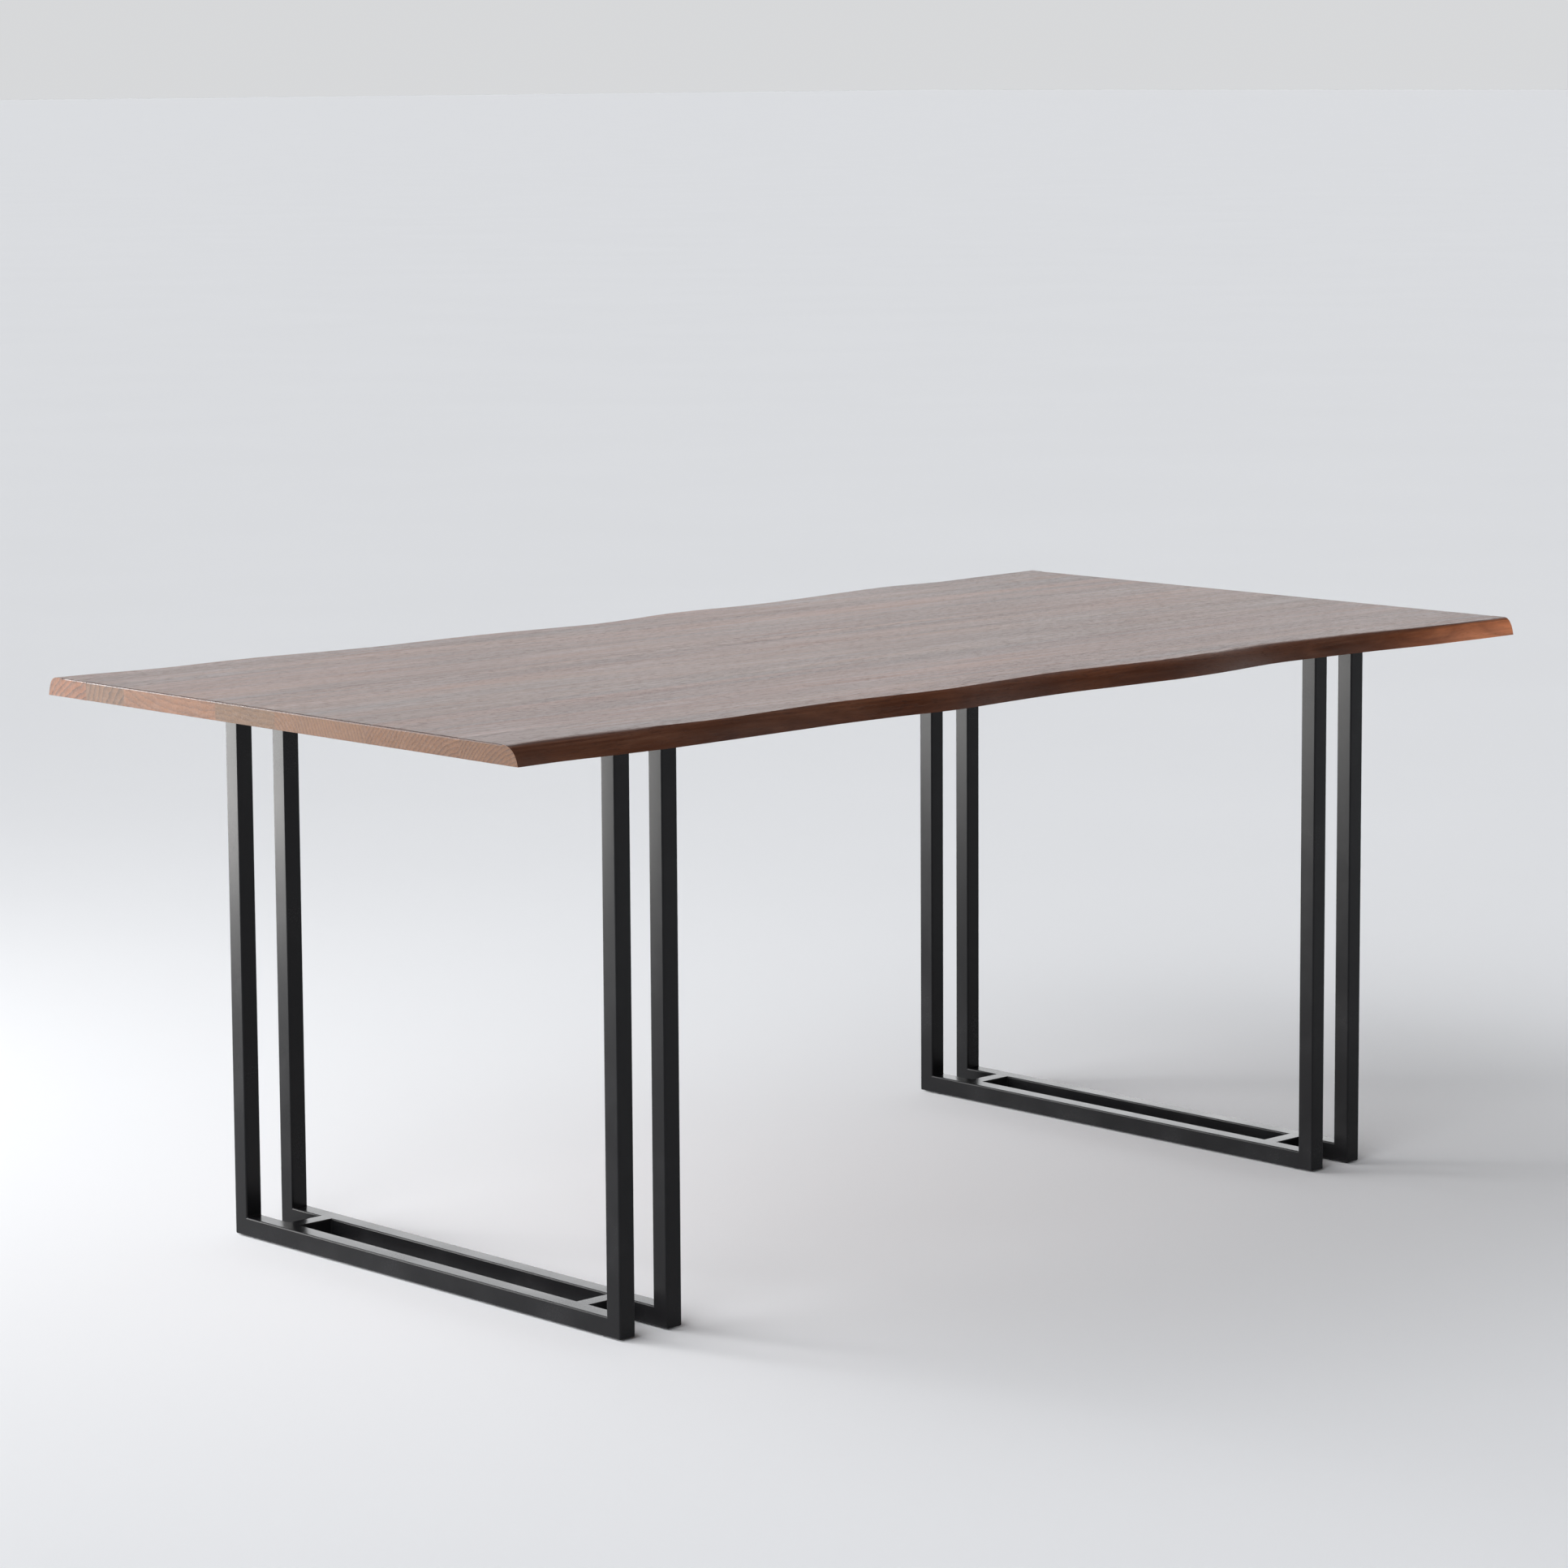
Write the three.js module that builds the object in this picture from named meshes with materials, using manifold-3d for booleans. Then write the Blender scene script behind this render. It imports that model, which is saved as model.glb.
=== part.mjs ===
// A dining table: a live-edge top glued up from full-length staves, on two leg sets of welded square tube.
// Millimetres, +Z up, X along the table, origin on the floor under the middle of the top.

import * as THREE from 'three';
import { mergeVertices } from 'three/addons/utils/BufferGeometryUtils.js';
import Module from 'manifold-3d';

const wasm = await Module();
wasm.setup();

// ---------------------------------------------------------------- driving dimensions

const TABLE_HEIGHT = 762;
const TOP_LENGTH = 1829;
const TOP_WIDTH = 880; // between the nominal lines that the two live edges wander about
const TOP_THICKNESS = 24;
const END_ROUND = 2.5; // radius on the upper arris of both end faces

const END_OVERHANG = 270; // end face to the middle of a leg set
const SIDE_OVERHANG = 53.5; // nominal edge line to the outer face of the frames
const FRAME_PITCH = 76.5; // between the middles of a leg set's two frames

const TUBE = 25;
const TUBE_WALL = 2;
const TUBE_CORNER = 2;
const CROSS_BAR_INSET = 96.5; // outer face of a frame to the middle of a cross bar

const PLATE_THICKNESS = 5;
const PLATE_LIP = 9; // how far the plate stands past the frames along the table
const PLATE_CORNER = 6;

const SCREW_DIAMETER = 8;
const SCREW_LENGTH = 20;
const SCREW_HEAD_ACROSS_FLATS = 13;
const SCREW_HEAD_HEIGHT = 5.3;
const SCREW_END_INSET = 46.5; // plate's end to its outer screws
const SCREW_PITCH = 190;
const SLOT_TRAVEL = 10; // how far the wood may carry a screw along its slot
const SLOT_CLEARANCE = 0.5; // each side of the screw
const WASHER_DIAMETER = 24;
const WASHER_THICKNESS = 2;
const INSERT_LENGTH = 14;
const INSERT_WALL = 2.2;
const INSERT_CHAMFER = 0.8;
const THREAD_CLEARANCE = 0.3; // each side, between a screw and its insert
const POCKET_CLEARANCE = 0.3; // each side and above, between an insert and its hole

const GLIDE_HEIGHT = 2;
const GLIDE_DIAMETER = 16;
const GLIDE_BEVEL = 0.6;
const GLIDE_STEM_DIAMETER = 8;
const GLIDE_STEM_LENGTH = 7;
const GLIDE_STEM_CLEARANCE = 0.3;
const GLIDE_INSET = 34; // end of a rail to the middle of its glide

// Glue lines across the top, as shares of half its width: minus is the front.
const GLUE_LINES = [-0.82, -0.425, -0.018, 0.177, 0.2545, 0.693, 0.88];

// A live edge: how far its upper arris stands past the nominal line (wander), how far its foot stands
// past that arris (flare), and how full the curve between the two is (fullness, 0.5 is nearly straight).
// Each is a list of [place along the table as a share of half its length, value].
const EDGE_LEAN = 0.8; // an edge fuller than this leaves its arris level, a flatter one slopes down from it
const FRONT_EDGE = {
  wander: [
    [-1, 3], [-0.91, -2], [-0.8, 3.5], [-0.66, 17], [-0.56, 12.5], [-0.45, 4.7], [-0.34, 9],
    [-0.225, 16.4], [-0.12, 7.5], [0.02, -3.3], [0.12, 2.3], [0.235, 8], [0.33, 1.3], [0.47, -13.6],
    [0.61, -6.4], [0.7, 0.5], [0.81, 16], [0.91, 23], [1, 21],
  ],
  flare: [
    [-1, 25], [-0.94, 28], [-0.85, 32], [-0.76, 29], [-0.66, 18], [-0.56, 19], [-0.47, 23], [-0.3, 20],
    [-0.1, 23], [0.05, 27], [0.2, 23.5], [0.39, 27], [0.6, 22.5], [0.72, 20], [0.82, 15], [0.9, 12], [1, 16],
  ],
  fullness: [[-1, 0.76], [-0.75, 0.62], [0, 0.6], [1, 0.76]],
};
const BACK_EDGE = {
  wander: [
    [-1, 14], [-0.94, 9], [-0.84, -4.5], [-0.73, -3.3], [-0.65, -4.8], [-0.55, -15.5], [-0.455, -23.8],
    [-0.34, -20], [-0.23, -21], [-0.12, -30], [-0.04, -36], [0.04, -28.6], [0.125, -14.4], [0.2, -12],
    [0.3, -17.2], [0.4, -11.6], [0.51, 1.2], [0.65, 15.3], [0.76, 6.5], [0.87, 13.5], [1, 21],
  ],
  flare: [[-1, 16], [-0.7, 24], [-0.4, 18], [-0.05, 26], [0.3, 19], [0.62, 14], [0.8, 21], [1, 16]],
  fullness: [[-1, 0.8], [0, 0.68], [1, 0.74]],
};

// ---------------------------------------------------------------- facets

const EDGE_STATIONS = 60; // steps along a live edge
const EDGE_STEPS = 6; // steps down its curve
const ARC_SEGMENTS = 2; // for the arcs of an outline, each of which gets twice as many steps
const SMALL_ROUND = 16; // sides of a screw's shank, insert, glide or washer
const HEXAGON = 6; // sides of a screw's head
const CUT_PAST = 1; // how far a cutter runs past the face that it opens

// ---------------------------------------------------------------- derived places

const HALF_LENGTH = TOP_LENGTH / 2;
const HALF_WIDTH = TOP_WIDTH / 2;
const UNDERSIDE = TABLE_HEIGHT - TOP_THICKNESS;
const PLATE_UNDERSIDE = UNDERSIDE - PLATE_THICKNESS;
const LEG_SET_X = HALF_LENGTH - END_OVERHANG;
const FRAME_WIDTH = TOP_WIDTH - 2 * SIDE_OVERHANG;
const RAIL_MIDDLE = GLIDE_HEIGHT + TUBE / 2;
const SCREW_OUTER_Y = FRAME_WIDTH / 2 - SCREW_END_INSET;
const SCREW_ROWS = [-SCREW_OUTER_Y, SCREW_PITCH - SCREW_OUTER_Y, SCREW_OUTER_Y - SCREW_PITCH, SCREW_OUTER_Y];
const INSERT_RADIUS = SCREW_DIAMETER / 2 + THREAD_CLEARANCE + INSERT_WALL;
const LEG_SETS = [{ name: 'left', side: -1 }, { name: 'right', side: 1 }];
const FRAMES = [{ name: 'outer', step: 1 }, { name: 'inner', step: -1 }];

// ---------------------------------------------------------------- finishes

const WOOD_TONES = [0x6b4630, 0x75503a, 0x6a4a37, 0x70503c, 0x664634, 0x6e4c38, 0x785238, 0x70482e];
const BLACK_STEEL = { color: 0x1d1d1f, roughness: 0.42, metalness: 0.25 };
const ZINC_STEEL = { color: 0xb4b6ba, roughness: 0.35, metalness: 0.9 };
const BRASS = { color: 0xb08d4c, roughness: 0.38, metalness: 0.9 };
const GLIDE_PLASTIC = { color: 0x141414, roughness: 0.6, metalness: 0 };

// ---------------------------------------------------------------- helpers

const table = new THREE.Group();

function addMesh(parent, name, geometry, finish, place = [0, 0, 0], turn = [0, 0, 0]) {
  const mesh = new THREE.Mesh(geometry, new THREE.MeshStandardMaterial(finish));
  mesh.name = name;
  mesh.position.set(...place);
  mesh.rotation.set(...turn);
  parent.add(mesh);
  return mesh;
}

function addGroup(parent, place) {
  const group = new THREE.Group();
  group.position.set(...place);
  parent.add(group);
  return group;
}

function toSolid(geometry) {
  const bare = geometry.clone();
  bare.deleteAttribute('normal');
  bare.deleteAttribute('uv');
  const merged = mergeVertices(bare, 1e-4);
  const vertProperties = new Float32Array(merged.attributes.position.array);
  const triVerts = new Uint32Array(merged.index.array);
  return new wasm.Manifold(new wasm.Mesh({ numProp: 3, vertProperties, triVerts }));
}

function toGeometry(solid) {
  const mesh = solid.getMesh();
  const geometry = new THREE.BufferGeometry();
  geometry.setAttribute('position', new THREE.BufferAttribute(mesh.vertProperties, mesh.numProp));
  geometry.setIndex(new THREE.BufferAttribute(mesh.triVerts, 1));
  geometry.computeVertexNormals();
  return geometry;
}

function extrude(outline, depth) {
  return new THREE.ExtrudeGeometry(outline, { depth, bevelEnabled: false, curveSegments: ARC_SEGMENTS });
}

function cut(geometry, cutters) {
  let solid = toSolid(geometry);
  for (const cutter of cutters) {
    solid = solid.subtract(toSolid(cutter));
  }
  return toGeometry(solid);
}

// A smooth line through [place, value] pairs, read at any place between the first and the last.
function readSmooth(pairs, place) {
  const last = pairs.length - 1;
  let k = 0;
  while (k < last - 1 && place > pairs[k + 1][0]) {
    k += 1;
  }
  const slopeAt = (i) => {
    const before = pairs[Math.max(i - 1, 0)];
    const after = pairs[Math.min(i + 1, last)];
    return (after[1] - before[1]) / (after[0] - before[0]);
  };
  const [x0, y0] = pairs[k];
  const [x1, y1] = pairs[k + 1];
  const span = x1 - x0;
  const t = (place - x0) / span;
  const rise = (1 + 2 * t) * (1 - t) ** 2 * y0 + t * t * (3 - 2 * t) * y1;
  return rise + t * (1 - t) ** 2 * span * slopeAt(k) - t * t * (1 - t) * span * slopeAt(k + 1);
}

// A cylinder that stands on its local XY plane, along +Z.
function uprightCylinder(radius, height, sides) {
  return new THREE.CylinderGeometry(radius, radius, height, sides)
    .rotateX(Math.PI / 2)
    .translate(0, 0, height / 2);
}

function roundedRectangle(width, depth, radius) {
  const x = width / 2 - radius;
  const y = depth / 2 - radius;
  const quarter = Math.PI / 2;
  const outline = new THREE.Shape();
  outline.absarc(x, y, radius, 0, quarter);
  outline.absarc(-x, y, radius, quarter, 2 * quarter);
  outline.absarc(-x, -y, radius, 2 * quarter, 3 * quarter);
  outline.absarc(x, -y, radius, 3 * quarter, 4 * quarter);
  outline.closePath();
  return outline;
}

// ---------------------------------------------------------------- wooden top

const woodFinish = (index) => ({ color: WOOD_TONES[index], roughness: 0.48, metalness: 0 });

// The end faces' upper arris is rounded: this is the sliver that comes off, all across the top at one end.
function endRounding(side) {
  const reach = HALF_WIDTH * 2;
  const sliver = new THREE.Shape();
  sliver.moveTo(-END_ROUND, 0);
  sliver.absarc(-END_ROUND, -END_ROUND, END_ROUND, Math.PI / 2, 0, true);
  sliver.lineTo(CUT_PAST, -END_ROUND);
  sliver.lineTo(CUT_PAST, CUT_PAST);
  sliver.lineTo(-END_ROUND, CUT_PAST);
  sliver.closePath();
  const geometry = extrude(sliver, reach);
  geometry.rotateX(Math.PI / 2).translate(0, reach / 2, 0);
  geometry.rotateZ(side < 0 ? Math.PI : 0);
  return geometry.translate(side * HALF_LENGTH, 0, 0);
}

// The blind holes that the threaded inserts go into, in the top's own frame (its upper face at Z = 0).
function insertPockets() {
  const depth = INSERT_LENGTH + POCKET_CLEARANCE;
  const pockets = [];
  for (const { side } of LEG_SETS) {
    for (const y of SCREW_ROWS) {
      const pocket = uprightCylinder(INSERT_RADIUS + POCKET_CLEARANCE, depth + CUT_PAST, SMALL_ROUND);
      pockets.push(pocket.translate(side * LEG_SET_X, y, -TOP_THICKNESS - CUT_PAST));
    }
  }
  return pockets;
}

function plainStave(low, high) {
  const geometry = new THREE.BoxGeometry(TOP_LENGTH, high - low, TOP_THICKNESS);
  const position = geometry.attributes.position;
  for (let i = 0; i < position.count; i += 1) {
    position.setY(i, position.getY(i) > 0 ? high : low);
    position.setZ(i, position.getZ(i) > 0 ? 0 : -TOP_THICKNESS);
  }
  return geometry;
}

// The outline of a live edge at one place along the table: t runs from its upper arris (0) to its foot (1).
// A quadratic curve whose middle handle stands out by the fullness.
function liveEdgePoint(edge, share, t) {
  const flare = readSmooth(edge.flare, share);
  const fullness = readSmooth(edge.fullness, share);
  const handle = 2 * t * (1 - t);
  const out = flare * (handle * fullness + t * t);
  const down = TOP_THICKNESS * (handle * Math.max(0, EDGE_LEAN - fullness) + t * t);
  return { out: HALF_WIDTH + readSmooth(edge.wander, share) + out, down };
}

// A stave from a glue line out to a live edge: a long box whose outer face is moved onto the edge.
function edgeStave(glueLine, edge, side) {
  const width = HALF_WIDTH - Math.abs(glueLine);
  const geometry = new THREE.BoxGeometry(TOP_LENGTH, width, TOP_THICKNESS, EDGE_STATIONS, 1, EDGE_STEPS);
  const position = geometry.attributes.position;
  for (let i = 0; i < position.count; i += 1) {
    const share = position.getX(i) / HALF_LENGTH;
    const t = 0.5 - position.getZ(i) / TOP_THICKNESS;
    const isOuter = position.getY(i) * side > 0;
    const point = liveEdgePoint(edge, share, t);
    position.setY(i, isOuter ? side * point.out : glueLine);
    position.setZ(i, isOuter ? -point.down : -t * TOP_THICKNESS);
  }
  return geometry;
}

function buildTop() {
  const top = addGroup(table, [0, 0, TABLE_HEIGHT]);
  const cutters = [endRounding(-1), endRounding(1), ...insertPockets()];
  const lines = GLUE_LINES.map((share) => share * HALF_WIDTH);
  const staves = [edgeStave(lines[0], FRONT_EDGE, -1)];
  for (let i = 1; i < lines.length; i += 1) {
    staves.push(plainStave(lines[i - 1], lines[i]));
  }
  staves.push(edgeStave(lines[lines.length - 1], BACK_EDGE, 1));
  staves.forEach((stave, index) => {
    const isEdge = index === 0 || index === staves.length - 1;
    const name = isEdge ? `live_edge_stave_${index === 0 ? 'front' : 'back'}` : `stave_${index}`;
    addMesh(top, name, cut(stave, cutters), woodFinish(index));
  });
}

// ---------------------------------------------------------------- square tube

// Moves the two ends of a straight bar to where the tube ends, mitred at 45 degrees or square, or past that.
function trimEnds(bar, length, mitreStart, mitreEnd, past) {
  const position = bar.attributes.position;
  for (let i = 0; i < position.count; i += 1) {
    const setBack = position.getY(i) + TUBE / 2;
    const isStart = position.getZ(i) < length / 2;
    const start = (mitreStart ? setBack : 0) - past;
    const end = length - (mitreEnd ? setBack : 0) + past;
    position.setZ(i, isStart ? start : end);
  }
  return bar;
}

// A length of square tube along its local +Z. A mitred end has its long side on local -Y.
function squareTube(length, mitreStart, mitreEnd) {
  const bar = extrude(roundedRectangle(TUBE, TUBE, TUBE_CORNER), length);
  const inside = TUBE - 2 * TUBE_WALL;
  const bore = new THREE.BoxGeometry(inside, inside, length).translate(0, 0, length / 2);
  trimEnds(bar, length, mitreStart, mitreEnd, 0);
  trimEnds(bore, length, mitreStart, mitreEnd, CUT_PAST);
  return cut(bar, [bore]);
}

// ---------------------------------------------------------------- leg sets

function railTube() {
  const glideY = FRAME_WIDTH / 2 - GLIDE_INSET;
  const radius = GLIDE_STEM_DIAMETER / 2 + GLIDE_STEM_CLEARANCE;
  const holes = [-glideY, glideY].map((place) =>
    uprightCylinder(radius, TUBE_WALL + 2 * CUT_PAST, SMALL_ROUND)
      .rotateX(Math.PI / 2)
      .translate(0, -TUBE / 2 + TUBE_WALL + CUT_PAST, FRAME_WIDTH / 2 + place));
  return cut(squareTube(FRAME_WIDTH, true, true), holes);
}

// One U-shaped frame in its own frame: X across the tube, Y along the rail, Z = 0 on the floor.
function buildFrame(legSet, prefix, x) {
  const frame = addGroup(legSet, [x, 0, 0]);
  const uprightLength = PLATE_UNDERSIDE - GLIDE_HEIGHT;
  const uprightY = (FRAME_WIDTH - TUBE) / 2;
  const upright = squareTube(uprightLength, true, false);
  const backPlace = [0, uprightY, GLIDE_HEIGHT];
  addMesh(frame, `${prefix}_upright_front`, upright, BLACK_STEEL, [0, -uprightY, GLIDE_HEIGHT]);
  addMesh(frame, `${prefix}_upright_back`, upright.clone(), BLACK_STEEL, backPlace, [0, 0, Math.PI]);
  // The rail's long side is underneath, so its local -Y turns to face down and its length lies along Y.
  const railPlace = [0, -FRAME_WIDTH / 2, RAIL_MIDDLE];
  addMesh(frame, `${prefix}_floor_rail`, railTube(), BLACK_STEEL, railPlace, [Math.PI / 2, Math.PI, 0]);
}

function glideGeometry() {
  const radius = GLIDE_DIAMETER / 2;
  const stem = GLIDE_STEM_DIAMETER / 2;
  const top = GLIDE_HEIGHT + GLIDE_STEM_LENGTH;
  const profile = [
    new THREE.Vector2(0, 0),
    new THREE.Vector2(radius - GLIDE_BEVEL, 0),
    new THREE.Vector2(radius, GLIDE_BEVEL),
    new THREE.Vector2(radius, GLIDE_HEIGHT),
    new THREE.Vector2(stem, GLIDE_HEIGHT),
    new THREE.Vector2(stem, top),
    new THREE.Vector2(0, top),
  ];
  return new THREE.LatheGeometry(profile, SMALL_ROUND).rotateX(Math.PI / 2);
}

function screwGeometry() {
  const overlap = SCREW_HEAD_HEIGHT / 2;
  const headRadius = SCREW_HEAD_ACROSS_FLATS / Math.sqrt(3);
  const head = uprightCylinder(headRadius, SCREW_HEAD_HEIGHT, HEXAGON).translate(0, 0, -SCREW_HEAD_HEIGHT);
  const shank = uprightCylinder(SCREW_DIAMETER / 2, SCREW_LENGTH + overlap, SMALL_ROUND);
  return toGeometry(toSolid(head).add(toSolid(shank.translate(0, 0, -overlap))));
}

function washerGeometry() {
  const hole = SCREW_DIAMETER / 2 + SLOT_CLEARANCE;
  const rim = WASHER_DIAMETER / 2;
  const profile = [
    new THREE.Vector2(hole, 0),
    new THREE.Vector2(rim, 0),
    new THREE.Vector2(rim, WASHER_THICKNESS),
    new THREE.Vector2(hole, WASHER_THICKNESS),
    new THREE.Vector2(hole, 0),
  ];
  return new THREE.LatheGeometry(profile, SMALL_ROUND).rotateX(Math.PI / 2);
}

function insertGeometry() {
  const bore = SCREW_DIAMETER / 2 + THREAD_CLEARANCE;
  const profile = [
    new THREE.Vector2(bore, 0),
    new THREE.Vector2(INSERT_RADIUS, 0),
    new THREE.Vector2(INSERT_RADIUS, INSERT_LENGTH - INSERT_CHAMFER),
    new THREE.Vector2(INSERT_RADIUS - INSERT_CHAMFER, INSERT_LENGTH),
    new THREE.Vector2(bore, INSERT_LENGTH),
    new THREE.Vector2(bore, 0),
  ];
  return new THREE.LatheGeometry(profile, SMALL_ROUND).rotateX(Math.PI / 2);
}

// The slot that a screw passes through, long across the table, where the wood swells and shrinks.
function slotCutter(y) {
  const radius = SCREW_DIAMETER / 2 + SLOT_CLEARANCE;
  const slot = new THREE.Shape();
  slot.absarc(0, y + SLOT_TRAVEL / 2, radius, 0, Math.PI);
  slot.absarc(0, y - SLOT_TRAVEL / 2, radius, Math.PI, 2 * Math.PI);
  slot.closePath();
  return extrude(slot, PLATE_THICKNESS + 2 * CUT_PAST).translate(0, 0, -CUT_PAST);
}

function plateGeometry() {
  const width = FRAME_PITCH + TUBE + 2 * PLATE_LIP;
  const blank = extrude(roundedRectangle(width, FRAME_WIDTH, PLATE_CORNER), PLATE_THICKNESS);
  return cut(blank, SCREW_ROWS.map(slotCutter));
}

function buildCrossBars(legSet, name) {
  const gap = FRAME_PITCH - TUBE;
  const y = FRAME_WIDTH / 2 - CROSS_BAR_INSET;
  const turn = [0, Math.PI / 2, 0];
  for (const [end, place] of [['front', -y], ['back', y]]) {
    const bar = squareTube(gap, false, false);
    addMesh(legSet, `${name}_cross_bar_${end}`, bar, BLACK_STEEL, [-gap / 2, place, RAIL_MIDDLE], turn);
  }
}

function buildGlides(legSet, prefix, x) {
  const y = FRAME_WIDTH / 2 - GLIDE_INSET;
  for (const [end, place] of [['front', -y], ['back', y]]) {
    addMesh(legSet, `${prefix}_glide_${end}`, glideGeometry(), GLIDE_PLASTIC, [x, place, 0]);
  }
}

function buildFastenings(legSet, name) {
  SCREW_ROWS.forEach((y, index) => {
    const washerZ = PLATE_UNDERSIDE - WASHER_THICKNESS;
    addMesh(legSet, `${name}_screw_${index + 1}`, screwGeometry(), ZINC_STEEL, [0, y, washerZ]);
    addMesh(legSet, `${name}_washer_${index + 1}`, washerGeometry(), ZINC_STEEL, [0, y, washerZ]);
    addMesh(legSet, `${name}_insert_${index + 1}`, insertGeometry(), BRASS, [0, y, UNDERSIDE]);
  });
}

function buildLegSet({ name, side }) {
  const legSet = addGroup(table, [side * LEG_SET_X, 0, 0]);
  for (const frame of FRAMES) {
    const x = side * frame.step * FRAME_PITCH / 2;
    buildFrame(legSet, `${name}_${frame.name}`, x);
    buildGlides(legSet, `${name}_${frame.name}`, x);
  }
  buildCrossBars(legSet, name);
  addMesh(legSet, `${name}_mounting_plate`, plateGeometry(), BLACK_STEEL, [0, 0, PLATE_UNDERSIDE]);
  buildFastenings(legSet, name);
}

buildTop();
for (const legSet of LEG_SETS) {
  buildLegSet(legSet);
}

export default table;
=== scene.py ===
"""Looks for a live-edge dining table: eight glued staves on two welded leg sets of square tube.

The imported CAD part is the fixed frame. Everything here is in metres, +Z up, X along the table.
"""

import logging
import math
from dataclasses import dataclass, field
from enum import Enum

import bmesh
import bpy
from mathutils import Matrix, Vector


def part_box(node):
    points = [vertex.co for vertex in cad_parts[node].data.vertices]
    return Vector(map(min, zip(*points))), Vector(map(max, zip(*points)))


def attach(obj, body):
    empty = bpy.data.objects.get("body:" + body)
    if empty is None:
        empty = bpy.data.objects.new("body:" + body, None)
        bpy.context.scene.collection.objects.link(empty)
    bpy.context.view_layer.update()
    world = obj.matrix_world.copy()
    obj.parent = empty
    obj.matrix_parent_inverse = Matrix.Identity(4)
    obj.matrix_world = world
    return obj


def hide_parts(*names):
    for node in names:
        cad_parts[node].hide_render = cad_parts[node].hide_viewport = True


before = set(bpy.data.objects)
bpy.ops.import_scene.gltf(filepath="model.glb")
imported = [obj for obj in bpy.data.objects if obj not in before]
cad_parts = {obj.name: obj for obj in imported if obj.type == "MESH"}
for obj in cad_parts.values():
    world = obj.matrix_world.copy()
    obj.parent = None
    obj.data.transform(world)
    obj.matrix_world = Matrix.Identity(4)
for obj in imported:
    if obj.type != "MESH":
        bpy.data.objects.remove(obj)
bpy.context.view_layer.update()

LOG = logging.getLogger("live_edge_table")

Colour = tuple[float, float, float]
Point = tuple[float, float, float]
Span = tuple[float, float]
Socket = bpy.types.NodeSocket
Material = bpy.types.Material
Shape = bmesh.types.BMesh
Edge = bmesh.types.BMEdge

ORIGIN: Point = (0.0, 0.0, 0.0)
UNCHANGED: Colour = (1.0, 1.0, 1.0)
RISING: Span = (0.0, 1.0)
FALLING: Span = (1.0, 0.0)
# The part of its range that most of a noise lies in, and a narrower part for a firmer edge.
MOST: Span = (0.3, 0.7)
CORE: Span = (0.35, 0.65)

# Corners closer than this are one corner, and the slack of a cut or a level edge.
MERGED = 1e-6
EXACT = 1e-7

# Facets of a wide round and of a narrow one, and sides of a shank and of a rim.
ROUND_STEPS = 4
FINE_STEPS = 2
SHANK_SIDES = 32
RIM_SIDES = 48

# Angles, in degrees: above the first ones a crease shows, and above PLATE_EDGE a plate's edge is broken.
PLAIN_CREASE = 35.0
LIVE_CREASE = 17.0
SCREW_CREASE = 25.0
PLATE_EDGE = 60.0
# Faces of a copied node that lie within this angle of each other become one.
LIVE_FLAT = 0.1
PLATE_FLAT = 0.5


class Slot(Enum):
    """Four material slot names; nothing here uses them."""

    WOOD = "stained_wood"
    STEEL = "black_steel"
    ZINC = "zinc_steel"
    PLASTIC = "glide_plastic"


class Axis(Enum):
    """The three directions of the table."""

    X = 0
    Y = 1
    Z = 2


# --- node trees


@dataclass(frozen=True)
class Pattern:
    """A noise's shape, in the table's own coordinates.

    Attributes:
        stretch: how finely it varies along X, Y and Z.
        scale: how fine it is as a whole.
        detail: how many finer layers it has.
        rough: how strong the finer layers are.
        warp: how far it is distorted.
        seeded: how far the seed shifts it along each axis.
        turn: how it is turned, in radians.
    """

    stretch: Point = (1.0, 1.0, 1.0)
    scale: float = 1.0
    detail: float = 2.0
    rough: float = 0.5
    warp: float = 0.0
    seeded: Point = ORIGIN
    turn: Point = ORIGIN


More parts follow.
